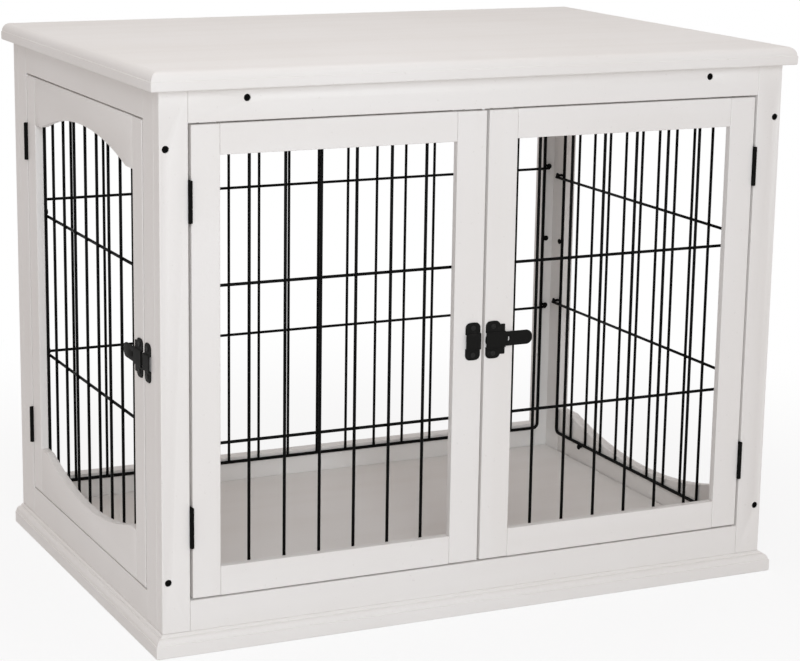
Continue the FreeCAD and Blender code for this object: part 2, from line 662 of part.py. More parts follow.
grille("side_door_grille", SIDE_GRILLE, DOOR_GRILLE_LOW, DOOR_GRILLE_HIGH, "side_wire_count",
       SIDE_CROSS, RIM_HALF, SIDE_RECESS, SIDE_MIDDLE, -90, "side_grille_in")
grille("back_grille", BACK_GRILLE, WALL_GRILLE_LOW, WALL_GRILLE_HIGH, "back_wire_count",
       BACK_CROSS, "back_cross_past", "(-back_grille_shift)", BACK_SEAT, 180)
grille("right_grille", RIGHT_GRILLE, WALL_GRILLE_LOW, WALL_GRILLE_HIGH, "right_wire_count",
       SIDE_CROSS, "right_cross_past", RIGHT_WALL, RIGHT_MIDDLE, 90)


# ---------------------------------------------------------------- small metal parts
def shape_node(name, shapes):
    """Several like pieces, as one compound of separate solids."""
    feature = doc.addObject("Part::Feature", name)
    feature.Label = name
    feature.Shape = Part.makeCompound(shapes)
    return feature


ALONG_Y, ALONG_Z = V(0, 1, 0), V(0, 0, 1)


def prism(spot, axis, radius, length, sides):
    """A many-sided post that stands along axis, +y or +z."""
    out = V(1, 0, 0)
    turn = Rotation(axis, 360 / sides)
    ring = []
    for _ in range(sides):
        ring.append(spot + out * radius)
        out = turn.multVec(out)
    return Part.Face(Part.makePolygon(ring + ring[:1])).extrude(axis * length)


def screw(spot, lift):
    """A pan-head screw whose head lies lift above its seat, on whatever wire runs beside the neck."""
    flats = int(size("screw_sides"))
    neck = prism(spot, ALONG_Y, size("screw_neck") / 2, lift, flats // 2)
    head = prism(spot + ALONG_Y * lift, ALONG_Y, size("screw_head") / 2, size("screw_head_thick"), flats)
    return neck.fuse(head).removeSplitter()


def grille_screws(seat, width, low, high, cross, in_from_side, past="0", drawn_in="0"):
    """The screws of one grille, in its own frame (x along, y inward, z up). seat is its x, y and turn.

    A door's screws hold the outer wire. On a fixed wall the cross wires run on past the outer wire,
    and a screw head lies over each of their ends.
    """
    neck, rim, wire = size("screw_neck") / 2 + size("screw_slack"), size("rim_wire"), size("wire")
    half, lo, hi = size(width) / 2, size(low), size(high)
    off = rim / 2 + neck
    heights = [size(z) for z in cross]
    sides = {-1: size(drawn_in) - half - off, 1: half + off}
    if size(past):
        reach = half + (rim / 2 + size(past)) / 2
        made = [screw(V(k * reach, 0, z + wire / 2 + neck), rim / 2 + 1.5 * wire)
                for k in (-1, 1) for z in heights]
        made += [screw(V(sides[k], 0, sum(heights) / 2), rim) for k in (-1, 1)]
    else:
        made = [screw(V(sides[k], 0, z + size("screw_aside")), rim) for k in (-1, 1) for z in heights]
    end = half - size(in_from_side)
    made += [screw(V(k * end, 0, z), rim) for k in (-1, 1) for z in (lo - off, hi + off)]
    for piece in made:
        piece.Placement = Placement(V(size(seat[0]), size(seat[1]), 0), Rotation(ALONG_Z, seat[2]))
    return made


for side, middle in WINDOW_MIDDLE.items():
    shape_node(f"{side}_door_screws", grille_screws(
        (middle, RECESS, 0), FRONT_GRILLE, DOOR_GRILLE_LOW, DOOR_GRILLE_HIGH, FRONT_CROSS,
        "front_end_screws"))
shape_node("side_door_screws", grille_screws(
    (SIDE_RECESS, SIDE_MIDDLE, -90), SIDE_GRILLE, DOOR_GRILLE_LOW, DOOR_GRILLE_HIGH, SIDE_CROSS,
    "side_end_screws", drawn_in="side_grille_in"))
shape_node("wall_grille_screws", grille_screws(
    ("(-back_grille_shift)", BACK_SEAT, 180), BACK_GRILLE, WALL_GRILLE_LOW, WALL_GRILLE_HIGH, BACK_CROSS,
    "back_end_screws", "back_cross_past") + grille_screws(
    (RIGHT_WALL, RIGHT_MIDDLE, 90), RIGHT_GRILLE, WALL_GRILLE_LOW, WALL_GRILLE_HIGH, SIDE_CROSS,
    "right_end_screws", "right_cross_past"))

# frame bolts, of which the sunk heads show: two in each front stile and two in the rail over the doors
across, up = "((body_width - side_thick) / 2)", f"({TOP} - batten_height / 2)"
bolts = []
for x, z in ((across, f"({TOP} - bolt_down)"), (across, "(base_height + bolt_up)"), (BATTEN, up)):
    for k in (-1, 1):
        start = V(k * size(x), size(f"({FRONT} + bolt_sink)"), size(z))
        bolts.append(Part.makeCylinder(size("bolt_head") / 2, size("bolt_head_thick"), start, ALONG_Y))
shape_node("frame_bolts", bolts)


# ---------------------------------------------------------------- hinges
def hinge_halves():
    """One butt hinge about its own axis, standing on z = 0. The frame's half lies at -x, the door's at +x.

    The leaves reach inward along +y from the knuckles.
    """
    tall, r, sides = size("leaf_height"), size("knuckle") / 2, int(size("knuckle_sides"))
    gap, thick = size("door_gap") / 2, size("leaf_thick")
    reach = size("hinge_proud") + size("leaf_width")
    slack = size("knuckle_slack")
    low, high = tall / 3, tall * 2 / 3

    def ring(bottom, top):
        return prism(V(0, 0, bottom), ALONG_Z, r, top - bottom, sides)

    def notch(bottom, top):
        return Part.makeBox(2 * gap, r + slack, top - bottom, V(-gap, 0, bottom))

    frame = Part.makeBox(thick, reach, tall, V(-gap, 0, 0))
    frame = frame.cut(notch(low - slack / 2, high + slack / 2))
    frame = frame.fuse([ring(0, low - slack / 2), ring(high + slack / 2, tall)])
    frame = frame.fuse(Part.makeCylinder(size("pin") / 2, tall)).removeSplitter()
    door = Part.makeBox(thick, reach, tall, V(gap - thick, 0, 0))
    door = door.cut([notch(0, low + slack / 2), notch(high - slack / 2, tall)])
    door = door.fuse(ring(low + slack / 2, high - slack / 2))
    door = door.cut(Part.makeCylinder(size("pin") / 2 + size("pin_slack"), tall)).removeSplitter()
    return frame, door


def set_metal(shape, spot, turn, mirror):
    """A copy of a fitting, mirrored left to right if need be, turned about z and moved to its spot."""
    shape = shape.copy()
    if mirror:
        shape = shape.mirror(V(0, 0, 0), V(1, 0, 0))
    shape.rotate(V(0, 0, 0), V(0, 0, 1), turn)
    shape.translate(spot)
    return shape


HINGES = {
    "left_door": (f"(-{OPEN_HALF} + door_gap / 2)", f"({FRONT} - hinge_proud)", 0, False),
    "right_door": (f"({OPEN_HALF} - door_gap / 2)", f"({FRONT} - hinge_proud)", 0, True),
    "side_door": (f"({LEFT} - hinge_proud)", f"({SIDE_OPEN_FRONT} + {SIDE_OPEN} - door_gap / 2)", -90, False),
}
frame_half, door_half = hinge_halves()
frame_leaves = []
for door, (x, y, turn, mirror) in HINGES.items():
    leaves = []
    for height in (f"({DOOR_LOW} + hinge_in)", f"({DOOR_LOW} + {DOOR_HEIGHT} - hinge_in)"):
        spot = V(size(x), size(y), size(height) - size("leaf_height") / 2)
        frame_leaves.append(set_metal(frame_half, spot, turn, mirror))
        leaves.append(set_metal(door_half, spot, turn, mirror))
    shape_node(f"{door}_hinges", leaves)
shape_node("frame_hinges", frame_leaves)


# ---------------------------------------------------------------- latches
def lobed_plate(x, width, height, round_off):
    """A plate bent up over the bolt in its middle, with a flat lobe above and below."""
    t, lift = size("plate_thick"), size("strap_thick") + size("strap_slack")
    half = size("strap_height") / 2 + size("strap_slack")
    outer = Part.makeBox(width, lift + t, 2 * (half + t), V(x, -lift - t, -half - t))
    flat = Part.makeBox(width, t, height, V(x, -t, -height / 2))
    shape = flat.fuse(outer)
    shape = shape.cut(Part.makeBox(width, lift, 2 * half, V(x, -lift, -half)))
    shape = shape.removeSplitter()
    if round_off:
        corners = [e for e in shape.Edges if along("y")(e) and abs(abs(ends_of(e)[0].z) - height / 2) < 1e-6]
        shape = shape.makeFillet(round_off, corners)
    return shape


def latch(kind):
    """One latch about the middle of its gap: x across the gap, y = 0 on the wood, -y outward."""
    if kind == "keeper":
        x = -size("keeper_place") - size("plate_width")
        return [lobed_plate(x, size("plate_width"), size("plate_height"), size("plate_round"))]
    if kind == "guides":
        x = size("guide_place")
        plate = lobed_plate(x, size("plate_width"), size("plate_height"), size("plate_round"))
        ear = lobed_plate(x + size("plate_width"), size("guide_ear"), size("guide_ear_height"), 0)
        return [plate.fuse(ear).removeSplitter()]
    long, tall, thick = size("strap_length"), size("strap_height"), size("strap_thick")
    tail = size("strap_tail") + size("strap_travel")
    bolt = Part.makeBox(long, thick, tall, V(tail - long, -thick - size("strap_slack") / 2, -tall / 2))
    bolt = bolt.makeFillet(size("strap_round"), [e for e in bolt.Edges if along("y")(e)])
    slot = Part.makeBox(size("strap_slot_width"), 3 * thick, size("strap_slot_height"),
                        V(tail - (long + size("strap_slot_width")) / 2, -2 * thick,
                          -size("strap_slot_height") / 2))
    return [bolt.cut(slot)]


def set_latch(name, kind, spot, turn, mirror):
    return shape_node(name, [set_metal(shape, spot, turn, mirror) for shape in latch(kind)])


LATCH_HEIGHT = f"({DOOR_LOW} + {DOOR_HEIGHT} / 2 - latch_drop)"
front_spot = V(0, size(FRONT), size(LATCH_HEIGHT))
set_latch("left_door_keeper", "keeper", front_spot, 0, False)
set_latch("right_door_guides", "guides", front_spot, 0, False)
set_latch("front_latch_bolt", "bolt", front_spot, 0, False)
side_spot = V(size(LEFT), size(f"({SIDE_OPEN_FRONT} + door_gap / 2)"), size(LATCH_HEIGHT))
set_latch("side_keeper", "keeper", side_spot, -90, True)
set_latch("side_door_guides", "guides", side_spot, -90, True)
set_latch("side_latch_bolt", "bolt", side_spot, -90, True)

# ---------------------------------------------------------------- check and write
doc.recompute()
broken = [o.Label for o in doc.Objects if {"Invalid", "Error"} & set(o.State)]
if broken:
    raise RuntimeError(f"these did not build: {broken}")
nodes = [o for o in doc.Objects if o.TypeId in ("PartDesign::Body", "Part::Feature")]
for node in nodes:
    if node.Shape.isNull() or not node.Shape.isValid():
        raise RuntimeError(f"{node.Label} has no valid shape")
os.makedirs("parts", exist_ok=True)
for node in nodes:
    node.Shape.exportStep(os.path.join("parts", f"{node.Label}.step"))
print(len(nodes), "parts written")
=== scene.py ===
"""Dog crate end table: painted wooden frames and top, wire grilles, hinges and slide latches. Metres."""
import bpy
import bmesh
import json
import math
from mathutils import Euler, Matrix, Vector

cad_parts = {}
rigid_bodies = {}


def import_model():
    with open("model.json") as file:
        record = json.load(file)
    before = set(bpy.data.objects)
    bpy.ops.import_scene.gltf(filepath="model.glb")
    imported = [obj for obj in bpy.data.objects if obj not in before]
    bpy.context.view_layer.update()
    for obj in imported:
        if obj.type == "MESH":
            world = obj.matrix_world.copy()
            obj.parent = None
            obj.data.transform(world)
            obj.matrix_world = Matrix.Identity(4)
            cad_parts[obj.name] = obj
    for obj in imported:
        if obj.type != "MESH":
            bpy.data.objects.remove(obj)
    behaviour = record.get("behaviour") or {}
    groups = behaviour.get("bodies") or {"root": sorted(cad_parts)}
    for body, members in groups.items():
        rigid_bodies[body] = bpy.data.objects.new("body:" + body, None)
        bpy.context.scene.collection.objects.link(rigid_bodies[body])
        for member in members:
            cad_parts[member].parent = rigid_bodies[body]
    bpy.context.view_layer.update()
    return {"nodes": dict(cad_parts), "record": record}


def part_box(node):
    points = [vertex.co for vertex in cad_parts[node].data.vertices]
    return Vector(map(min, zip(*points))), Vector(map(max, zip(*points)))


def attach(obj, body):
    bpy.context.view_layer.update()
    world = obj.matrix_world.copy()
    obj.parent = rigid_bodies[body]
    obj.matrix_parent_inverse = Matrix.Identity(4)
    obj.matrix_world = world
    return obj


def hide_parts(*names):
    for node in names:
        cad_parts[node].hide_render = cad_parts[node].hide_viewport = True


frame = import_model()
nodes = frame["nodes"]
subparts = frame["record"]["subparts"]

MM = 0.001
UP = Vector((0, 0, 1))


def in_mm(pairs):
    """Pairs of millimetres as metres."""
    return [(a * MM, b * MM) for a, b in pairs]


def corners(name):
    """The low and high corner of a node's box."""
    return [Vector(corner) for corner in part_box(name)]


# ---------------------------------------------------------------- camera
def set_camera():
    """The photograph's camera, as fitted to the edges of the top, the frames and the wires."""
    data = bpy.data.cameras.new("camera")
    camera = bpy.data.objects.new("camera", data)
    bpy.context.scene.collection.objects.link(camera)
    camera.location = (-1.24227, -2.64271, 0.95749)
    camera.rotation_euler = Euler([math.radians(a) for a in (76.8811, -0.7475, -24.7417)], "XYZ")
    data.sensor_width = 36
    data.lens = 105.997
    data.shift_x = 0.03278
    data.shift_y = 0.00801
    data.clip_start = 0.1
    data.clip_end = 100
    bpy.context.scene.camera = camera


set_camera()

# ---------------------------------------------------------------- shader arithmetic
MIX_A, MIX_B, MIX_COLOUR = 6, 7, 2  # the Mix node's colour inputs and output


class Shade:
    """A socket of a material. Python's arithmetic on it adds Math nodes."""

    def __init__(self, tree, socket=None):
        self.tree = tree
        self.socket = socket

    def node(self, kind, sockets=None, out=0, **settings):
        """Adds one node: its settings first, then its sockets' values or links. Gives one of its outputs."""
        made = self.tree.nodes.new("ShaderNode" + kind)
        for name, value in settings.items():
            setattr(made, name, value)
        for name, value in (sockets or {}).items():
            if isinstance(value, Shade):
                self.tree.links.new(value.socket, made.inputs[name])
            else:
                made.inputs[name].default_value = value
        return Shade(self.tree, made.outputs[out])

    def math(self, operation, a, b):
        return self.node("Math", {0: a, 1: b, 2: 0.0}, operation=operation)

    def __add__(self, other):
        return self.math("ADD", self, other)

    __radd__ = __add__

    def __mul__(self, other):
        return self.math("MULTIPLY", self, other)

    def __sub__(self, other):
        return self.math("SUBTRACT", self, other)

    def spread(self, low, high, to_low=0.0, to_high=1.0):
        """Maps low...high to to_low...to_high, smoothly and held at the ends."""
        sockets = {0: self, 1: low, 2: high, 3: to_low, 4: to_high}
        return self.node("MapRange", sockets, interpolation_type="SMOOTHSTEP")

    def stretch(self, scale):
        """A place multiplied by three numbers."""
        return self.node("VectorMath", {0: self, 1: scale}, operation="MULTIPLY")

    def noise(self, scale, detail, rough=0.5):
        return self.node("TexNoise", {"Vector": self, "Scale": scale, "Detail": detail, "Roughness": rough})

    def blend(self, first, second):
        """A colour between two others, by this value."""
        return self.node("Mix", {0: self, MIX_A: first, MIX_B: second}, MIX_COLOUR, data_type="RGBA")

    def relief(self, height, normal=None):
        """A bump of this many metres at value 1, over another normal if one is given."""
        sockets = {"Height": self, "Distance": height, "Strength": 1.0}
        if normal is not None:
            sockets["Normal"] = normal
        return self.node("Bump", sockets)


def finish(name, gloss):
    """Starts a material: gives it, the place on the piece, and what sets the surface."""
    material = bpy.data.materials.new(name)
    material.use_nodes = True
    tree = material.node_tree
    place = Shade(tree).node("TexCoord", out="Object")
    shader = next(n for n in tree.nodes if n.type == "BSDF_PRINCIPLED")
    shader.inputs["Specular IOR Level"].default_value = gloss

    def put(colour, rough, normal):
        tree.links.new(colour.socket, shader.inputs["Base Color"])
        tree.links.new(rough.socket, shader.inputs["Roughness"])
        tree.links.new(normal.socket, shader.inputs["Normal"])

    return material, place, put


def grey(level, warm):
    """A grey of this level: warm takes some of its green and more of its blue away."""
    return (level, level * (1 - 0.45 * warm), level * (1 - warm), 1)


# ---------------------------------------------------------------- finishes
PAINT_GLOSS = 0.42
ALONG_GRAIN, ACROSS_GRAIN = 5.0, 130.0  # noise scales
STREAKS = 0.22  # the streaks' scale as a share of the fibres'


def painted_wood(name, grain, level, warm):
    """Sprayed white paint over straight-grained wood, with the grain showing faintly through."""
    material, place, put = finish(name, PAINT_GLOSS)
    along = tuple(ALONG_GRAIN if axis == grain else ACROSS_GRAIN for axis in "xyz")
    fibre = place.stretch(along).noise(1.0, 4.0, 0.6)
    streak = place.stretch(tuple(v * STREAKS for v in along)).noise(1.0, 2.0)
    cloud = place.noise(4.5, 2.0)
    stipple = place.noise(620.0, 2.0)
    dust = place.noise(230.0, 1.0).spread(0.73, 0.8)
    tone = cloud.spread(0.35, 0.65, 0.0, 0.55) + streak.spread(0.4, 0.7, 0.0, 0.45)
    colour = tone.blend(grey(level, warm), grey(level * 0.965, warm * 1.35))
    colour = (dust * 0.35).blend(colour, grey(level * 0.82, warm * 1.8))
    rough = 0.40 + cloud * 0.10 + stipple * 0.06
    fibres = fibre.relief(0.12 * MM)
    put(colour, rough, stipple.relief(0.06 * MM, fibres))
    return material


def black_coat(name, level, rough, gloss, grain):
    """Black coating on steel: fine orange peel, with a few rubbed, greyer spots, which also serve as painted
    highlights.
    """
    material, place, put = finish(name, gloss)
    peel = place.noise(grain, 2.0)
    patch = place.noise(60.0, 3.0, 0.6)
    # Greyer patches: rubbed wear, and also painted highlight standing in for glints on the metal.
    rubbed_and_highlight = patch.spread(0.62, 0.8)
    black = (level, level, level * 0.95, 1)
    worn_and_highlight = (level * 2.2, level * 2.1, level * 2.0, 1)
    put(rubbed_and_highlight.blend(black, worn_and_highlight), rough + patch * 0.16 - rubbed_and_highlight * 0.08, peel.relief(0.04 * MM))
    return material


PAINT = {axis: painted_wood(f"body_paint_{axis}", axis, 0.845, 0.045) for axis in "xyz"}
# The floor board's paint is a lighter, warmer copy of the body's paint: painted light, standing in for light
# that falls into the crate.
LIT_FLOOR_PAINT = painted_wood("floor_paint", "x", 0.89, 0.055)
TOP_PAINT = {axis: painted_wood(f"top_paint_{axis}", axis, 0.85, 0.045) for axis in "xy"}
WIRE_BLACK = black_coat("wire_black", 0.003, 0.42, 0.05, 900.0)
FITTING_BLACK = black_coat("fitting_black", 0.007, 0.42, 0.012, 700.0)
PLATE_BLACK = black_coat("plate_black", 0.0125, 0.40, 0.02, 700.0)
SCREW_BLACK = black_coat("screw_black", 0.026, 0.34, 0.05, 500.0)


def dress_nodes():
    """Gives each carried-over node its finish, with the grain along its longest side."""
    slots = {entry["node"]: entry["material_slot"] for entry in subparts}
    for name, piece in nodes.items():
        low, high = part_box(name)
        sides = [high[i] - low[i] for i in range(3)]
        axis = "xyz"[sides.index(max(sides))]
        if slots[name] == "body_paint":
            # The floor board takes the lit copy of the paint: painted light inside the crate.
            material = LIT_FLOOR_PAINT if name == "floor_board" else PAINT[axis]
        elif slots[name] == "top_paint":
            material = TOP_PAINT[axis]
        else:
            material = WIRE_BLACK if slots[name] == "wire_black" else FITTING_BLACK
        if not piece.material_slots:
            piece.data.materials.append(material)
        for used in piece.material_slots:
            used.material = material


dress_nodes()


# ---------------------------------------------------------------- making pieces
def settle(mesh, name, body, finishes, node, smooth):
    """Turns a bmesh into a piece that rides on a body and stands for a node.

    Edges sharper than smooth, in degrees, stay sharp.
    """
    bmesh.ops.recalc_face_normals(mesh, faces=mesh.faces)
    data = bpy.data.meshes.new(name)
    mesh.to_mesh(data)
    mesh.free()
    for material in finishes:
        data.materials.append(material)
    data.polygons.foreach_set("use_smooth", [True] * len(data.polygons))
    data.set_sharp_from_angle(angle=math.radians(smooth))
    piece = bpy.data.objects.new(name, data)
    bpy.context.scene.collection.objects.link(piece)
    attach(piece, body)
    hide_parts(node)


def settle_wood(mesh, name, ending, body):
    """Settles a painted member in its node's own finish."""
    finishes = [nodes[name].material_slots[0].material]
    settle(mesh, f"{name}_{ending}", body, finishes, name, smooth=30)


def settle_fitting(mesh, name, body, node):
    """Settles black fittings that have one finish."""
    settle(mesh, name, body, [FITTING_BLACK], node, smooth=35)


def join_rings(mesh, rings, closed):
    """Skins rings of vertices, one after the other. An open row gets a face at each end."""
    count = len(rings[0])
    followers = rings[1:] + rings[:1] if closed else rings[1:]
    for a, b in zip(rings, followers):
        for i in range(count):
            j = (i + 1) % count
            mesh.faces.new((a[i], a[j], b[j], b[i]))
    if not closed:
        mesh.faces.new(rings[0][::-1])
        mesh.faces.new(rings[-1])


def ring_about(mesh, point, tangent, across, radius, sides, stretch=1.0):
    """A ring of vertices about a wire's middle line. stretch widens it where the wire turns."""
    aside = tangent.cross(across).normalized()
    ring = []
    for k in range(sides):
        turn = 2 * math.pi * k / sides
        sideways = aside * (math.cos(turn) * radius * stretch)
        ring.append(mesh.verts.new(point + sideways + across * (math.sin(turn) * radius)))
    return ring


END_RADIUS, END_LENGTH = 0.72, 0.28  # the eased end of a wire, as shares of its radius
WIDEST_STRETCH = 1 / 0.4


def straight_wire(mesh, start, end, radius, across, sides=14):
    """A round wire from start to end, with its ends eased."""
    tangent = (end - start).normalized()
    rings = []
    for distance, share in ((0, END_RADIUS), (radius * END_LENGTH, 1)):
        spot = start + tangent * distance
        rings.append(ring_about(mesh, spot, tangent, across, radius * share, sides))
    for distance, share in ((radius * END_LENGTH, 1), (0, END_RADIUS)):
        spot = end - tangent * distance
        rings.append(ring_about(mesh, spot, tangent, across, radius * share, sides))
    join_rings(mesh, rings, closed=False)


def closed_wire(mesh, points, radius, across, sides=16):
    """A round wire bent along points in a plane square to across, and joined to itself."""
    rings = []
    count = len(points)
    for i, point in enumerate(points):
        arriving = (point - points[i - 1]).normalized()
        leaving = (points[(i + 1) % count] - point).normalized()
        tangent = (arriving + leaving).normalized()
        stretch = min(WIDEST_STRETCH, 1 / tangent.dot(arriving))
        rings.append(ring_about(mesh, point, tangent, across, radius, sides, stretch))
    join_rings(mesh, rings, closed=True)


def lathe(mesh, profile, place, sides, shape=None):
    """Turns a profile of (radius, height) about the local z axis. shape bends it by level and angle."""
    rings = []
    for level, (radius, height) in enumerate(profile):
        if radius == 0:
            rings.append([mesh.verts.new(place @ Vector((0, 0, height)))])
            continue
        ring = []
        for k in range(sides):
            turn = 2 * math.pi * k / sides
            r, h = shape(level, turn, radius, height) if shape else (radius, height)
            ring.append(mesh.verts.new(place @ Vector((r * math.cos(turn), r * math.sin(turn), h))))
        rings.append(ring)
    for a, b in zip(rings, rings[1:]):
        for i in range(sides):
            j = (i + 1) % sides
            if len(a) == 1:
                mesh.faces.new((a[0], b[j], b[i]))
            elif len(b) == 1:
                mesh.faces.new((a[i], a[j], b[0]))
            else:
                mesh.faces.new((a[i], a[j], b[j], b[i]))
    for end, outline in ((rings[0], rings[0][::-1]), (rings[-1], rings[-1])):
        if len(end) > 1:
            mesh.faces.new(outline)


def facing(spot, normal):
    """A place whose local z points along normal."""
    return Matrix.Translation(spot) @ Vector(normal).to_track_quat("Z", "Y").to_matrix().to_4x4()


def quarter_turn(start, steps):
    """The angles of a quarter circle in radians, from start in degrees."""
    return [math.radians(start + 90 * k / steps) for k in range(steps + 1)]


SCREW_SIDES = 24
DRIVE_LEVEL = 7  # the first level of a screw's profile that lies in its drive
DRIVE_DEPTH = 0.5  # how deep the drive's arms are, as a share of the radius
PAN_HEAD = (  # shares of the head's radius and thickness
    (0.97, 0), (1, 0.25), (0.96, 0.6), (0.82, 0.88), (0.6, 1), (0.5, 1), (0.22, 1), (0, 0.55),
)


def cross_recess(level, turn, radius, height):
    """The drive of a screw: four arms pushed down into the head."""
    side = round(turn / (2 * math.pi / SCREW_SIDES))
    if level >= DRIVE_LEVEL and side % (SCREW_SIDES // 4) == 0:
        return radius, height - radius * DRIVE_DEPTH
    return radius, height


def pan_screw(mesh, foot, normal, low, radius, thick, neck):
    """A pan-head screw that stands on foot: its neck, and from the height low on its head."""
    profile = [(neck, 0), (neck, low)]
    profile += [(radius * across, low + thick * up) for across, up in PAN_HEAD]
    lathe(mesh, profile, facing(foot, normal), SCREW_SIDES, cross_recess)


# ---------------------------------------------------------------- wooden members
JOINT = 0.25 * MM  # how much each end of a member falls short of its joint
MERGE = 0.002 * MM
FLAT_ANGLE, SQUARE_ANGLE = math.radians(1), math.radians(60)
EASED_EDGE, EASED_TOP_EDGE, LAPPED_EDGE = 0.8 * MM, 0.6 * MM, 0.5 * MM


def eased(name, width):
    """A member as the frame gives it, with eased ends and arches, and a hair short for an open joint line."""
    node = nodes[name]
    mesh = bmesh.new()
    mesh.from_mesh(node.data)
    mesh.transform(node.matrix_world)
    low, high = corners(name)
    long = max(range(3), key=lambda i: high[i] - low[i])
    shorter = Vector((1, 1, 1))
    shorter[long] = 1 - 2 * JOINT / (high[long] - low[long])
    middle = Matrix.Translation((low + high) / 2)
    mesh.transform(middle @ Matrix.Diagonal((*shorter, 1)) @ middle.inverted())
    bmesh.ops.remove_doubles(mesh, verts=mesh.verts, dist=MERGE)
    bmesh.ops.dissolve_limit(mesh, angle_limit=FLAT_ANGLE, verts=mesh.verts, edges=mesh.edges)
    square = [edge for edge in mesh.edges if len(edge.link_faces) == 2 and edge.is_convex
              and edge.calc_face_angle() > SQUARE_ANGLE]
    bmesh.ops.bevel(mesh, geom=square, offset=width, segments=2, profile=0.5, affect="EDGES",
                    clamp_overlap=True)
    settle_wood(mesh, name, "eased", node.parent.name.split(":")[1])


def arc(middle_y, middle_z, across, up, start, end, steps):
    """Points of a part of an ellipse, by its middle, its two half sizes and its first and last angle."""
    turns = [math.radians(start + (end - start) * k / steps) for k in range(steps + 1)]
    return [(middle_y - across * math.cos(a), middle_z + up * math.sin(a)) for a in turns]


# A moulding's profile is a row of (inward, up) in millimetres.
LOW_ROUND = arc(2, 2, 2, 2, -90, 0, 4)
OVOLO_BACK, OVOLO_LEDGE = 11, 12  # how far in the base's moulding ends, and how wide its ledge is


def base_profile(thick):
    """Plain face, small arris, ovolo, fillet and a sloped top, then the ledge for the floor board."""
    inner = OVOLO_BACK + thick
    face = [(0, 14.9), (0.35, 15.3), (1.2, 15.5)]
    top = [(8.0, 22.3), (8.1, 23.4), (8.5, 23.9), (10.5, 25.2), (11.3, 25.3), (inner, 25.3)]
    ledge = [(inner, 13.5), (inner + OVOLO_LEDGE, 13.5), (inner + OVOLO_LEDGE, 0)]
    return LOW_ROUND + face + arc(7.4, 15.5, 6.2, 6.6, 0, 90, 9) + top + ledge


def lip_profile():
    """The top's edge: a round below, a plain face, a small arris and a large round above."""
    face = [(0, 10.5), (0.25, 10.9), (0.8, 11.1)]
    return LOW_ROUND + face + arc(9.9, 11.1, 9.1, 10.3, 0, 90, 12) + [(10.5, 20.6), (10.5, 0)]


def moulding(name, profile, side, mitres):
    """A moulded rail: its profile run along one side of the table, each end mitred or square."""
    low, high = corners(name)
    start, turn, length = {
        "front": ((low.x, low.y), 0, (high - low).x),
        "right": ((high.x, low.y), 90, (high - low).y),
        "back": ((high.x, high.y), 180, (high - low).x),
        "left": ((low.x, high.y), -90, (high - low).y),
    }[side]
    place = Matrix.Translation((*start, low.z)) @ Matrix.Rotation(math.radians(turn), 4, "Z")
    mesh = bmesh.new()
    rings = []
    for end, way, mitred in ((0, 1, mitres[0]), (length, -1, mitres[1])):
        ring = []
        for inward, up in in_mm(profile):
            along = end + way * inward if mitred else end
            ring.append(mesh.verts.new(place @ Vector((along, inward, up))))
        rings.append(ring)
    join_rings(mesh, rings, closed=False)
    settle_wood(mesh, name, "moulding", "cabinet")


def lapped_rail(name, lap, step):
    """The back base rail, with its upper half lapped over the side rails' ledges."""
    low, high = corners(name)
    outline = [
        (low.x, low.z), (high.x, low.z), (high.x, step), (high.x + lap, step),
        (high.x + lap, high.z), (low.x - lap, high.z), (low.x - lap, step), (low.x, step),
    ]
    mesh = bmesh.new()
    rings = [[mesh.verts.new((x, y, z)) for x, z in outline] for y in (low.y, high.y)]
    join_rings(mesh, rings, closed=False)
    bmesh.ops.bevel(mesh, geom=mesh.edges[:], offset=LAPPED_EDGE, segments=2, profile=0.5, affect="EDGES")
    settle_wood(mesh, name, "lapped", "cabinet")


def joinery():
    """Every painted member: the moulded rails from their profiles, all others eased."""
    lapped_rail("base_rail_back", lap=11.9 * MM, step=13.6 * MM)
    for side, thick, mitres in (
        ("front", 18, (True, True)),
        ("left", 15, (False, True)),
        ("right", 15, (True, False)),
    ):
        moulding(f"base_rail_{side}", base_profile(thick), side, mitres)
    for side in ("front", "right", "back", "left"):
        moulding(f"top_lipping_{side}", lip_profile(), side, (True, True))
    for entry in subparts:
        name, slot = entry["node"], entry["material_slot"]
        if slot in ("body_paint", "top_paint") and not name.startswith(("top_lipping", "base_rail")):
            eased(name, EASED_TOP_EDGE if name == "table_top_board" else EASED_EDGE)


joinery()

# ---------------------------------------------------------------- grilles
WIRE, RIM = 3.2 * MM, 4.0 * MM  # the solids' wires and outer wires, by which the layers are placed
WIRE_COAT, RIM_COAT = 1.85 * MM, 2.2 * MM  # the coated wires' radii
RIM_BEND, BEND_STEPS = 7 * MM, 6
WELD = in_mm(((0.8, -0.9), (1.9, -0.5), (2.25, 0), (1.9, 0.5), (0.8, 0.9)))
WELD_SIDES = 10
HEAD, HEAD_THICK, NECK = 3.75 * MM, 1.8 * MM, 1.8 * MM  # the grille screws
SCREW_ROOM = 1.9 * MM  # from a wire's side to the middle of a screw beside it
DOOR_SCREW_LIFT = 6 * MM  # how far a door's screws stand above its cross wires
FRONT_CROSS = (238.0 * MM, 419.0 * MM)
SIDE_CROSS = (244.5 * MM, 425.0 * MM)
BACK_CROSS = (235.0 * MM, 436.0 * MM)


class Wall:
    """The plane that a grille is screwed to: u runs along it, depth inward from it.

    cross is the cross wires' two heights. past is how far the cross wires of a fixed wall run past
    the outer wire, drawn_in how much nearer the outer wire stands at +u, and end how far in the
    upper and lower screws are.
    """

    def __init__(self, node, along, inward, cross, end, past=0, drawn_in=0):
        low, high = corners(node)
        middle = (low + high) / 2
        seat = low if sum(inward) > 0 else high
        axis = 0 if along[0] else 1
        self.along = Vector(along)
        self.inward = Vector(inward)
        self.cross = cross
        self.past = past
        self.origin = Vector((middle.x, seat.y, 0)) if axis == 0 else Vector((seat.x, middle.y, 0))
        self.half = (high[axis] - low[axis]) / 2 - (past if past else RIM / 2)
        self.far = self.half - drawn_in
        self.low = low.z + RIM / 2
        self.high = high.z - RIM / 2
        self.end = self.half - end

    def at(self, u, depth, z):
        return self.origin + self.along * u + self.inward * depth + UP * z


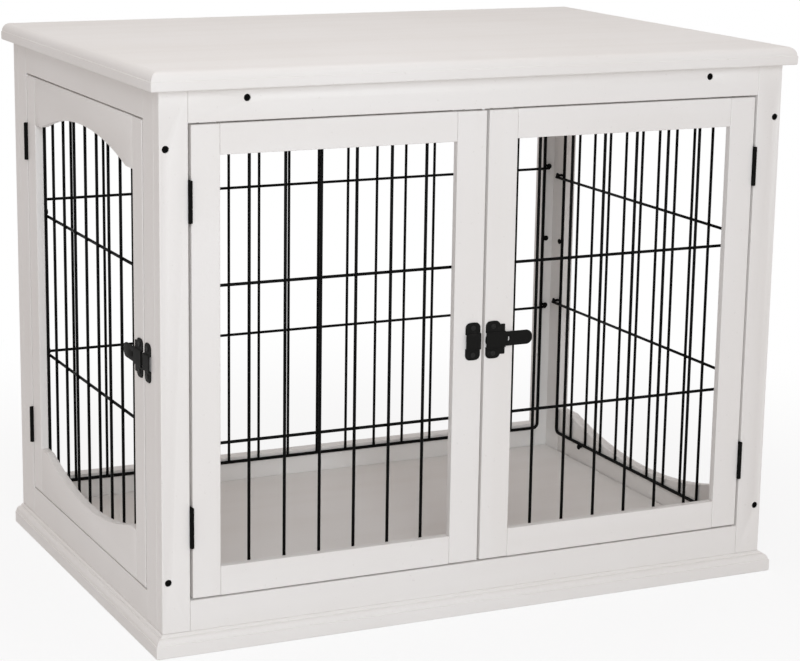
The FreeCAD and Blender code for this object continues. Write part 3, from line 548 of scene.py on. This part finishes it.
def rim_path(wall):
    """The outer wire's middle line, round its four bends."""
    path = []
    for u, z, start in (
        (wall.far, wall.low, -90),
        (wall.far, wall.high, 0),
        (-wall.half, wall.high, 90),
        (-wall.half, wall.low, 180),
    ):
        middle_u = u - math.copysign(RIM_BEND, u)
        middle_z = z + RIM_BEND if z == wall.low else z - RIM_BEND
        for a in quarter_turn(start, BEND_STEPS):
            across, up = RIM_BEND * math.cos(a), RIM_BEND * math.sin(a)
            path.append(wall.at(middle_u + across, RIM / 2, middle_z + up))
    return path


def grille(wall, count, name, body, node):
    """The welded grille: a bent outer wire, upright wires, two cross wires, and the weld spots."""
    mesh = bmesh.new()
    closed_wire(mesh, rim_path(wall), RIM_COAT, wall.inward)
    pitch = 2 * wall.half / (count + 1)
    uprights = [-wall.half + pitch * (i + 1) for i in range(count)]
    for u in uprights:
        foot, top = wall.at(u, RIM / 2, wall.low), wall.at(u, RIM / 2, wall.high)
        straight_wire(mesh, foot, top, WIRE_COAT, wall.inward)
    reach = wall.half + (wall.past if wall.past else RIM / 2)
    layer = RIM / 2 + WIRE
    for z in wall.cross:
        straight_wire(mesh, wall.at(-reach, layer, z), wall.at(reach, layer, z), WIRE_COAT, wall.inward)
        for u in [-wall.half, *uprights, wall.far]:
            spot = wall.at(u, RIM / 2 + WIRE / 2, z)
            lathe(mesh, WELD, facing(spot, wall.inward), WELD_SIDES)
    settle(mesh, name, body, [WIRE_BLACK], node, smooth=50)


def grille_screws(mesh, wall):
    """The screws of one grille: round a door's outer wire, or over the cross wires' ends on a fixed wall."""
    aside = RIM / 2 + SCREW_ROOM
    sides = (-wall.half - aside, wall.far + aside)
    if wall.past:
        reach = wall.half + (RIM / 2 + wall.past) / 2
        low = RIM / 2 + 1.5 * WIRE
        for z in wall.cross:
            for u in (-reach, reach):
                foot = wall.at(u, 0, z + WIRE / 2 + SCREW_ROOM)
                pan_screw(mesh, foot, wall.inward, low, HEAD, HEAD_THICK, NECK)
        spots = [(u, sum(wall.cross) / 2) for u in sides]
    else:
        spots = [(u, z + DOOR_SCREW_LIFT) for u in sides for z in wall.cross]
    spots += [(u, z) for u in (-wall.end, wall.end) for z in (wall.low - aside, wall.high + aside)]
    for u, z in spots:
        pan_screw(mesh, wall.at(u, 0, z), wall.inward, RIM, HEAD, HEAD_THICK, NECK)


def grilles():
    """The doors' grilles with their own screws, then the fixed walls' grilles with one set of screws."""
    along_x, along_y = (1, 0, 0), (0, 1, 0)
    for door, count, body, wall in (
        ("left_door", 6, "front_door_left",
         Wall("left_door_grille", along_x, (0, 1, 0), FRONT_CROSS, end=15 * MM)),
        ("right_door", 6, "front_door_right",
         Wall("right_door_grille", along_x, (0, 1, 0), FRONT_CROSS, end=15 * MM)),
        ("side_door", 8, "side_door",
         Wall("side_door_grille", along_y, (1, 0, 0), SIDE_CROSS, end=43 * MM, drawn_in=7 * MM)),
    ):
        grille(wall, count, f"{door}_wires", body, f"{door}_grille")
        heads = bmesh.new()
        grille_screws(heads, wall)
        settle_fitting(heads, f"{door}_screw_heads", body, f"{door}_screws")
    back = Wall("back_grille", along_x, (0, -1, 0), BACK_CROSS, end=130 * MM, past=6.4 * MM)
    right = Wall("right_grille", along_y, (-1, 0, 0), SIDE_CROSS, end=69.8 * MM, past=17.5 * MM)
    grille(back, 16, "back_wires", "cabinet", "back_grille")
    grille(right, 10, "right_wires", "cabinet", "right_grille")
    heads = bmesh.new()
    grille_screws(heads, back)
    grille_screws(heads, right)
    settle_fitting(heads, "wall_screw_heads", "cabinet", "wall_grille_screws")


grilles()

# ---------------------------------------------------------------- frame bolts
BOLT_RADIUS, SOCKET = 4 * MM, 2.2 * MM
BOLT_HEAD = in_mm(((4, -5), (4, -0.5), (3.8, -0.15), (3.44, 0), (2.7, 0), (2.3, 0), (2.3, -2.4), (0, -2.6)))
SOCKET_LEVELS = (5, 6)  # the levels of the bolt's profile that take the socket's six sides
BOLT_SIDES = 24
UPPER_BOLTS = 576.3 * MM  # height of the stiles' upper bolts
RAIL_BOLTS = 296 * MM  # distance of the top rail's bolts from the middle


def hex_socket(level, turn, radius, height):
    """The bolts' drive: a six-sided socket."""
    if level in SOCKET_LEVELS:
        corner = (turn + math.pi / 6) % (math.pi / 3) - math.pi / 6
        return SOCKET / math.cos(corner), height
    return radius, height


def frame_bolts():
    """The sunk heads in the front frame: two in each stile and two in the top rail."""
    mesh = bmesh.new()
    low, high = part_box("frame_bolts")
    stile = high[0] - BOLT_RADIUS
    spots = [(x, z) for x in (stile, -stile) for z in (low[2] + BOLT_RADIUS, UPPER_BOLTS)]
    spots += [(x, high[2] - BOLT_RADIUS) for x in (RAIL_BOLTS, -RAIL_BOLTS)]
    for x, z in spots:
        lathe(mesh, BOLT_HEAD, facing(Vector((x, low[1], z)), (0, -1, 0)), BOLT_SIDES, hex_socket)
    settle_fitting(mesh, "frame_bolt_heads", "cabinet", "frame_bolts")


frame_bolts()

# ---------------------------------------------------------------- hinges
TALL, BARREL, BARREL_ARRIS, BARREL_SIDES = 47 * MM, 2.5 * MM, 0.35 * MM, 32
HALF_GAP = 1.75 * MM  # from the hinge's axis to the wood on either side
LEAF, LEAF_CORNER = 1.4 * MM, 2.2 * MM
LEAF_START, LEAF_END = 1.0 * MM, 15 * MM  # LEAF_END counts from LEAF_START
LEAF_EDGE, KNUCKLE_EDGE = 0.15 * MM, 0.05 * MM
KNUCKLE_SLACK = 0.1 * MM
PIN_CAP = in_mm(((1.5, 0), (1.35, 0.2), (0.8, 0.38), (0, 0.45)))
CAP_SIDES = 20
FLAT_HEAD = in_mm((
    (2.0, -0.3), (2.0, 0.05), (1.9, 0.14), (1.8, 0.16), (1.5, 0.18),
    (1.24, 0.2), (1.0, 0.2), (0.84, 0.2), (0.32, 0.2), (0, -0.15),
))
LEAF_SCREWS = ((0.16, 9.0 * MM), (0.5, 11.0 * MM), (0.84, 9.0 * MM))  # share of the height, and depth
HINGE_HEIGHTS = (147.4 * MM, 517.5 * MM)
HINGES = {  # door: the axis in x and y, its turn in degrees, 1 or -1 for mirrored, and the door's body
    "left_door": (-362.95 * MM, -273.5 * MM, 0, 1, "front_door_left"),
    "right_door": (362.95 * MM, -273.5 * MM, 0, -1, "front_door_right"),
    "side_door": (-400.0 * MM, 220.5 * MM, -90, 1, "side_door"),
}


def plate(mesh, outline, place, x0, thick, ease):
    """A flat plate: its outline in the local y and z, thick from x0 on, with eased edges."""
    x1 = x0 + thick
    middle = sum(outline, Vector((0, 0))) / len(outline)
    rings = []
    for x, shrink in ((x0, ease), (x0 + ease, 0), (x1 - ease, 0), (x1, ease)):
        ring = []
        for point in outline:
            inward = (middle - point).normalized() * shrink
            ring.append(mesh.verts.new(place @ Vector((x, point.x + inward.x, point.y + inward.y))))
        rings.append(ring)
    join_rings(mesh, rings, closed=False)


def leaf_outline():
    """A leaf's outline from the barrel to its two rounded corners."""
    points = [Vector((0, 0)), Vector((0, TALL))]
    middle = LEAF_END - LEAF_CORNER
    for height, start in ((TALL - LEAF_CORNER, 0), (LEAF_CORNER, -90)):
        for a in quarter_turn(start, BEND_STEPS)[::-1]:
            points.append(Vector((middle + LEAF_CORNER * math.cos(a), height + LEAF_CORNER * math.sin(a))))
    return points


def hinge_half(mesh, place, is_door):
    """Half a butt hinge about its axis: a leaf with its three flat screws, and its share of the barrel."""
    third = TALL / 3
    if is_door:
        knuckles = [(third + KNUCKLE_SLACK, 2 * third - KNUCKLE_SLACK)]
        x0 = HALF_GAP - LEAF
        face, way = x0, -1
    else:
        knuckles = [(0, third - KNUCKLE_SLACK), (2 * third + KNUCKLE_SLACK, TALL)]
        x0 = -HALF_GAP
        face, way = x0 + LEAF, 1
        for end, up in ((0, -1), (TALL, 1)):
            cap = place @ Matrix.Translation((0, 0, end)) @ Matrix.Scale(up, 4, UP)
            lathe(mesh, PIN_CAP, cap, CAP_SIDES)
    plate(mesh, leaf_outline(), place @ Matrix.Translation((0, LEAF_START, 0)), x0, LEAF, LEAF_EDGE)
    slim = BARREL - BARREL_ARRIS
    for bottom, top in knuckles:
        barrel = [(slim, bottom), (BARREL, bottom + BARREL_ARRIS), (BARREL, top - BARREL_ARRIS), (slim, top)]
        lathe(mesh, barrel, place, BARREL_SIDES)
        web = [Vector((0, bottom)), Vector((0, top)), Vector((BARREL, top)), Vector((BARREL, bottom))]
        plate(mesh, web, place, x0, LEAF, KNUCKLE_EDGE)
    turn = Matrix.Rotation(math.radians(90 * way), 4, "Y")
    for share, depth in LEAF_SCREWS:
        seat = place @ Matrix.Translation((face, depth, TALL * share)) @ turn
        lathe(mesh, FLAT_HEAD, seat, SCREW_SIDES, cross_recess)


def hinges():
    """Each door's own leaves as one piece, and all the frame's leaves as another."""
    frame_side = bmesh.new()
    for door, (x, y, turn, mirror, body) in HINGES.items():
        door_side = bmesh.new()
        for z in HINGE_HEIGHTS:
            spot = Matrix.Translation((x, y, z - TALL / 2))
            place = spot @ Matrix.Rotation(math.radians(turn), 4, "Z") @ Matrix.Scale(mirror, 4, (1, 0, 0))
            hinge_half(frame_side, place, False)
            hinge_half(door_side, place, True)
        settle_fitting(door_side, f"{door}_hinge_leaves", body, f"{door}_hinges")
    settle_fitting(frame_side, "frame_hinge_leaves", "cabinet", "frame_hinges")


hinges()

# ---------------------------------------------------------------- latches
SHEET = 1.2 * MM  # the plates' thickness
LIFT, HALF_SLOT = 2.6 * MM, 8.6 * MM  # the room for the bolt: its depth and half its height
STRAP_BEND, STRAP_FOOT, STRAP_EDGE, STRAP_INNER = 1.5 * MM, 0.9 * MM, 0.3 * MM, 0.2 * MM
STRAP_STEPS = 24
LEAST_LOBE = 3 * MM
PLATE_WIDTH = 19 * MM
LOBE_END, LOBE_CORNER, LOBE_SWELL = 22.5 * MM, 5 * MM, 1.2 * MM
TAB_WIDTH, TAB_END, TAB_CORNER = 6 * MM, 18 * MM, 0.8 * MM
KEEPER_EDGE, GUIDES_EDGE = -4.6 * MM, 2.8 * MM  # the plates' edges at the gap, from its middle
LOBE_SCREW_HEIGHT = 16 * MM
SCREW_FINISH = 1  # place of SCREW_BLACK in the latches' list of finishes
BOLT_LONG, BOLT_TALL, BOLT_THICK, BOLT_CORNER, BOLT_EDGE = 61 * MM, 17 * MM, 2.5 * MM, 7.5 * MM, 0.45 * MM
BOLT_END = 63.4 * MM  # the far end of the bolt, drawn back, from the middle of the gap
BOLT_SEAT = 0.05 * MM
FINGER_X, FINGER_Z, FINGER_CORNER = 1.25 * MM, 3 * MM, 1.2 * MM  # half sizes of the finger slot
BOLT_STEPS = 10
LATCH_HEIGHT = 331.95 * MM


def strap_section(end):
    """The section of a plate bent up over the bolt, as (height along the door, depth): upper half."""
    top, flat = -LIFT - SHEET, -SHEET
    out = HALF_SLOT + SHEET
    outer = [(0, top)]
    for a in quarter_turn(0, 5):
        outer.append((out - STRAP_BEND * (1 - math.sin(a)), top + STRAP_BEND * (1 - math.cos(a))))
    for a in quarter_turn(0, 3):
        outer.append((out + STRAP_FOOT * (1 - math.cos(a)), flat - STRAP_FOOT * (1 - math.sin(a))))
    outer += [
        (end - STRAP_EDGE, flat), (end - STRAP_EDGE * 0.3, flat + STRAP_EDGE * 0.3),
        (end, flat + STRAP_EDGE), (end, 0),
    ]
    inner = [
        (HALF_SLOT, 0), (HALF_SLOT, -LIFT + STRAP_INNER), (HALF_SLOT - STRAP_INNER, -LIFT), (0, -LIFT),
    ]
    return outer + inner


def strap_plate(mesh, place, x0, width, end, corner, swell):
    """A bent plate, with lobes that reach end and have round corners and swelling sides."""
    rings = []
    for i in range(STRAP_STEPS + 1):
        t = 0.5 - 0.5 * math.cos(math.pi * i / STRAP_STEPS)
        side = min(t, 1 - t) * width
        drop = 0
        if side < corner:
            drop = corner - math.sqrt(max(0, corner ** 2 - (corner - side) ** 2))
        reach = end - drop - swell * (2 * t - 1) ** 2
        half = strap_section(max(reach, HALF_SLOT + LEAST_LOBE))
        ring = half + [(-z, y) for z, y in half[::-1]]
        rings.append([mesh.verts.new(place @ Vector((x0 + width * t, y, z))) for z, y in ring])
    join_rings(mesh, rings, closed=False)


def lobe_screws(mesh, place, x):
    """The two screws of a plate, which have a finish of their own."""
    first = len(mesh.faces)
    outward = place.to_3x3() @ Vector((0, -1, 0))
    for z in (-LOBE_SCREW_HEIGHT, LOBE_SCREW_HEIGHT):
        foot = place @ Vector((x, -SHEET, z))
        pan_screw(mesh, foot, outward, low=0.05 * MM, radius=3.0 * MM, thick=1.1 * MM, neck=2.6 * MM)
    mesh.faces.ensure_lookup_table()
    for face in mesh.faces[first:]:
        face.material_index = SCREW_FINISH


def keeper(mesh, place):
    x = KEEPER_EDGE - PLATE_WIDTH
    strap_plate(mesh, place, x, PLATE_WIDTH, LOBE_END, LOBE_CORNER, LOBE_SWELL)
    lobe_screws(mesh, place, x + PLATE_WIDTH / 2)


def guides(mesh, place):
    x = GUIDES_EDGE
    strap_plate(mesh, place, x, PLATE_WIDTH, LOBE_END, LOBE_CORNER, LOBE_SWELL)
    strap_plate(mesh, place, x + PLATE_WIDTH, TAB_WIDTH, TAB_END, TAB_CORNER, 0)
    lobe_screws(mesh, place, x + PLATE_WIDTH / 2)


def rounded(half_x, half_z, corner):
    """An outline with round corners, about its middle."""
    points = []
    for way_x, way_z, start in ((1, 1, 0), (-1, 1, 90), (-1, -1, 180), (1, -1, 270)):
        for a in quarter_turn(start, BOLT_STEPS):
            x = way_x * (half_x - corner) + corner * math.cos(a)
            z = way_z * (half_z - corner) + corner * math.sin(a)
            points.append(Vector((x, z)))
    return points


def bolt_outline(inset):
    return rounded(BOLT_LONG / 2 - inset, BOLT_TALL / 2 - inset, BOLT_CORNER - inset)


def finger_slot(grow):
    return rounded(FINGER_X + grow, FINGER_Z + grow, FINGER_CORNER + grow)


def slide_bolt(mesh, place):
    """The flat bolt, drawn back: round ends, eased edges and an oval finger slot."""
    middle = BOLT_END - BOLT_LONG / 2
    front = -BOLT_THICK - BOLT_SEAT
    back = front + BOLT_THICK
    ease = BOLT_EDGE
    rings = []
    for outline, depth in (
        (finger_slot(0), front + ease),
        (finger_slot(ease * 0.4), front + ease * 0.3),
        (finger_slot(ease), front),
        (bolt_outline(ease), front),
        (bolt_outline(ease * 0.3), front + ease * 0.3),
        (bolt_outline(0), front + ease),
        (bolt_outline(0), back - ease),
        (bolt_outline(ease), back),
        (finger_slot(0), back),
    ):
        rings.append([mesh.verts.new(place @ Vector((middle + p.x, depth, p.y))) for p in outline])
    join_rings(mesh, rings, closed=True)


def latches():
    """Both latches, about the middle of their gaps. The side one is turned round and mirrored."""
    front = Matrix.Translation((0, -271.5 * MM, LATCH_HEIGHT))
    side = Matrix.Translation((-398 * MM, -217.5 * MM, LATCH_HEIGHT))
    side = side @ Matrix.Rotation(math.radians(-90), 4, "Z") @ Matrix.Scale(-1, 4, (1, 0, 0))
    for make, name, place, body, node in (
        (keeper, "front_keeper_plate", front, "front_door_left", "left_door_keeper"),
        (guides, "front_guide_plate", front, "front_door_right", "right_door_guides"),
        (slide_bolt, "front_slide_bolt", front, "front_latch", "front_latch_bolt"),
        (keeper, "side_keeper_plate", side, "cabinet", "side_keeper"),
        (guides, "side_guide_plate", side, "side_door", "side_door_guides"),
        (slide_bolt, "side_slide_bolt", side, "side_latch", "side_latch_bolt"),
    ):
        mesh = bmesh.new()
        make(mesh, place)
        settle(mesh, name, body, [PLATE_BLACK, SCREW_BLACK], node, smooth=32)


latches()

# ---------------------------------------------------------------- floor, light and background
FLOOR_DROP = 0.5 * MM
FADE_FROM, FADE_TO, LEAST_WHITE = 0.45, 1.3, 0.84
SKY_COLOUR, SKY_STRENGTH = (1, 0.865, 0.82, 1), 0.36
WHITE = {"Color": (1, 1, 1, 1), "Strength": 1.0}


def in_view(root):
    """1 for what the camera sees, also by a mirror or through glass, and 0 for light on other things."""
    rays = root.node("LightPath").socket.node.outputs
    names = ("Is Camera Ray", "Is Glossy Ray", "Is Transmission Ray")
    camera, glossy, transmission = (Shade(root.tree, rays[name]) for name in names)
    return root.math("MINIMUM", camera + glossy + transmission, 1.0)


def end_tree(tree, kind, mixed):
    """Links the last node to the tree's output."""
    out = tree.nodes.new(kind)
    tree.links.new(mixed.socket, out.inputs["Surface"])


def floor():
    """A pale floor that keeps the shadow and fades into a white background."""
    mesh = bmesh.new()
    bmesh.ops.create_grid(mesh, x_segments=1, y_segments=1, size=12)
    data = bpy.data.meshes.new("floor")
    mesh.to_mesh(data)
    mesh.free()
    piece = bpy.data.objects.new("floor", data)
    piece.location.z = -FLOOR_DROP
    bpy.context.scene.collection.objects.link(piece)

    material = bpy.data.materials.new("floor")
    material.use_nodes = True
    tree = material.node_tree
    tree.nodes.clear()
    root = Shade(tree)
    place = root.node("TexCoord", out="Object")
    far = root.node("VectorMath", {0: place}, "Value", operation="LENGTH")
    fade = far.spread(FADE_FROM, FADE_TO, LEAST_WHITE, 1.0)
    colour = place.noise(3.0, 2.0).blend((0.90, 0.90, 0.90, 1), (0.93, 0.93, 0.93, 1))
    paper = root.node("BsdfDiffuse", {"Color": colour})
    white = root.node("Emission", WHITE)
    mixed = root.node("MixShader", {0: fade * in_view(root), 1: paper, 2: white})
    end_tree(tree, "ShaderNodeOutputMaterial", mixed)
    data.materials.append(material)


def sky():
    """A white background to the camera, and a dim, warm light for everything else."""
    world = bpy.data.worlds.new("studio")
    bpy.context.scene.world = world
    world.use_nodes = True
    tree = world.node_tree
    tree.nodes.clear()
    root = Shade(tree)
    light = root.node("Background", {"Color": SKY_COLOUR, "Strength": SKY_STRENGTH})
    white = root.node("Background", WHITE)
    mixed = root.node("MixShader", {0: in_view(root), 1: light, 2: white})
    end_tree(tree, "ShaderNodeOutputWorld", mixed)


def lamp(name, spot, aim, size, level, colour=(1, 1, 1)):
    """A soft square lamp. level is what it adds to a white surface that faces it."""
    data = bpy.data.lights.new(name, "AREA")
    back = Vector(spot) - Vector(aim)
    data.size = size
    data.color = colour
    data.energy = level * math.pi ** 2 * back.length ** 2
    light = bpy.data.objects.new(name, data)
    light.location = spot
    light.rotation_euler = back.to_track_quat("Z", "Y").to_euler()
    bpy.context.scene.collection.objects.link(light)


floor()
sky()
lamp("key", (-1.3, -3.2, 2.0), (0, 0, 0.35), 1.8, 0.365, (0.88, 0.95, 1.0))
lamp("fill", (-1.1, -3.2, 0.9), (0, 0, 0.33), 1.2, 0.11, (0.92, 0.96, 1.0))
lamp("top", (0.2, 0.3, 3.6), (0, 0, 0.5), 2.4, 0.27)
lamp("left", (-1.7, 0.1, 3.0), (0, 0, 0.4), 1.6, 0.07)

view = bpy.context.scene.view_settings
view.view_transform = "Standard"
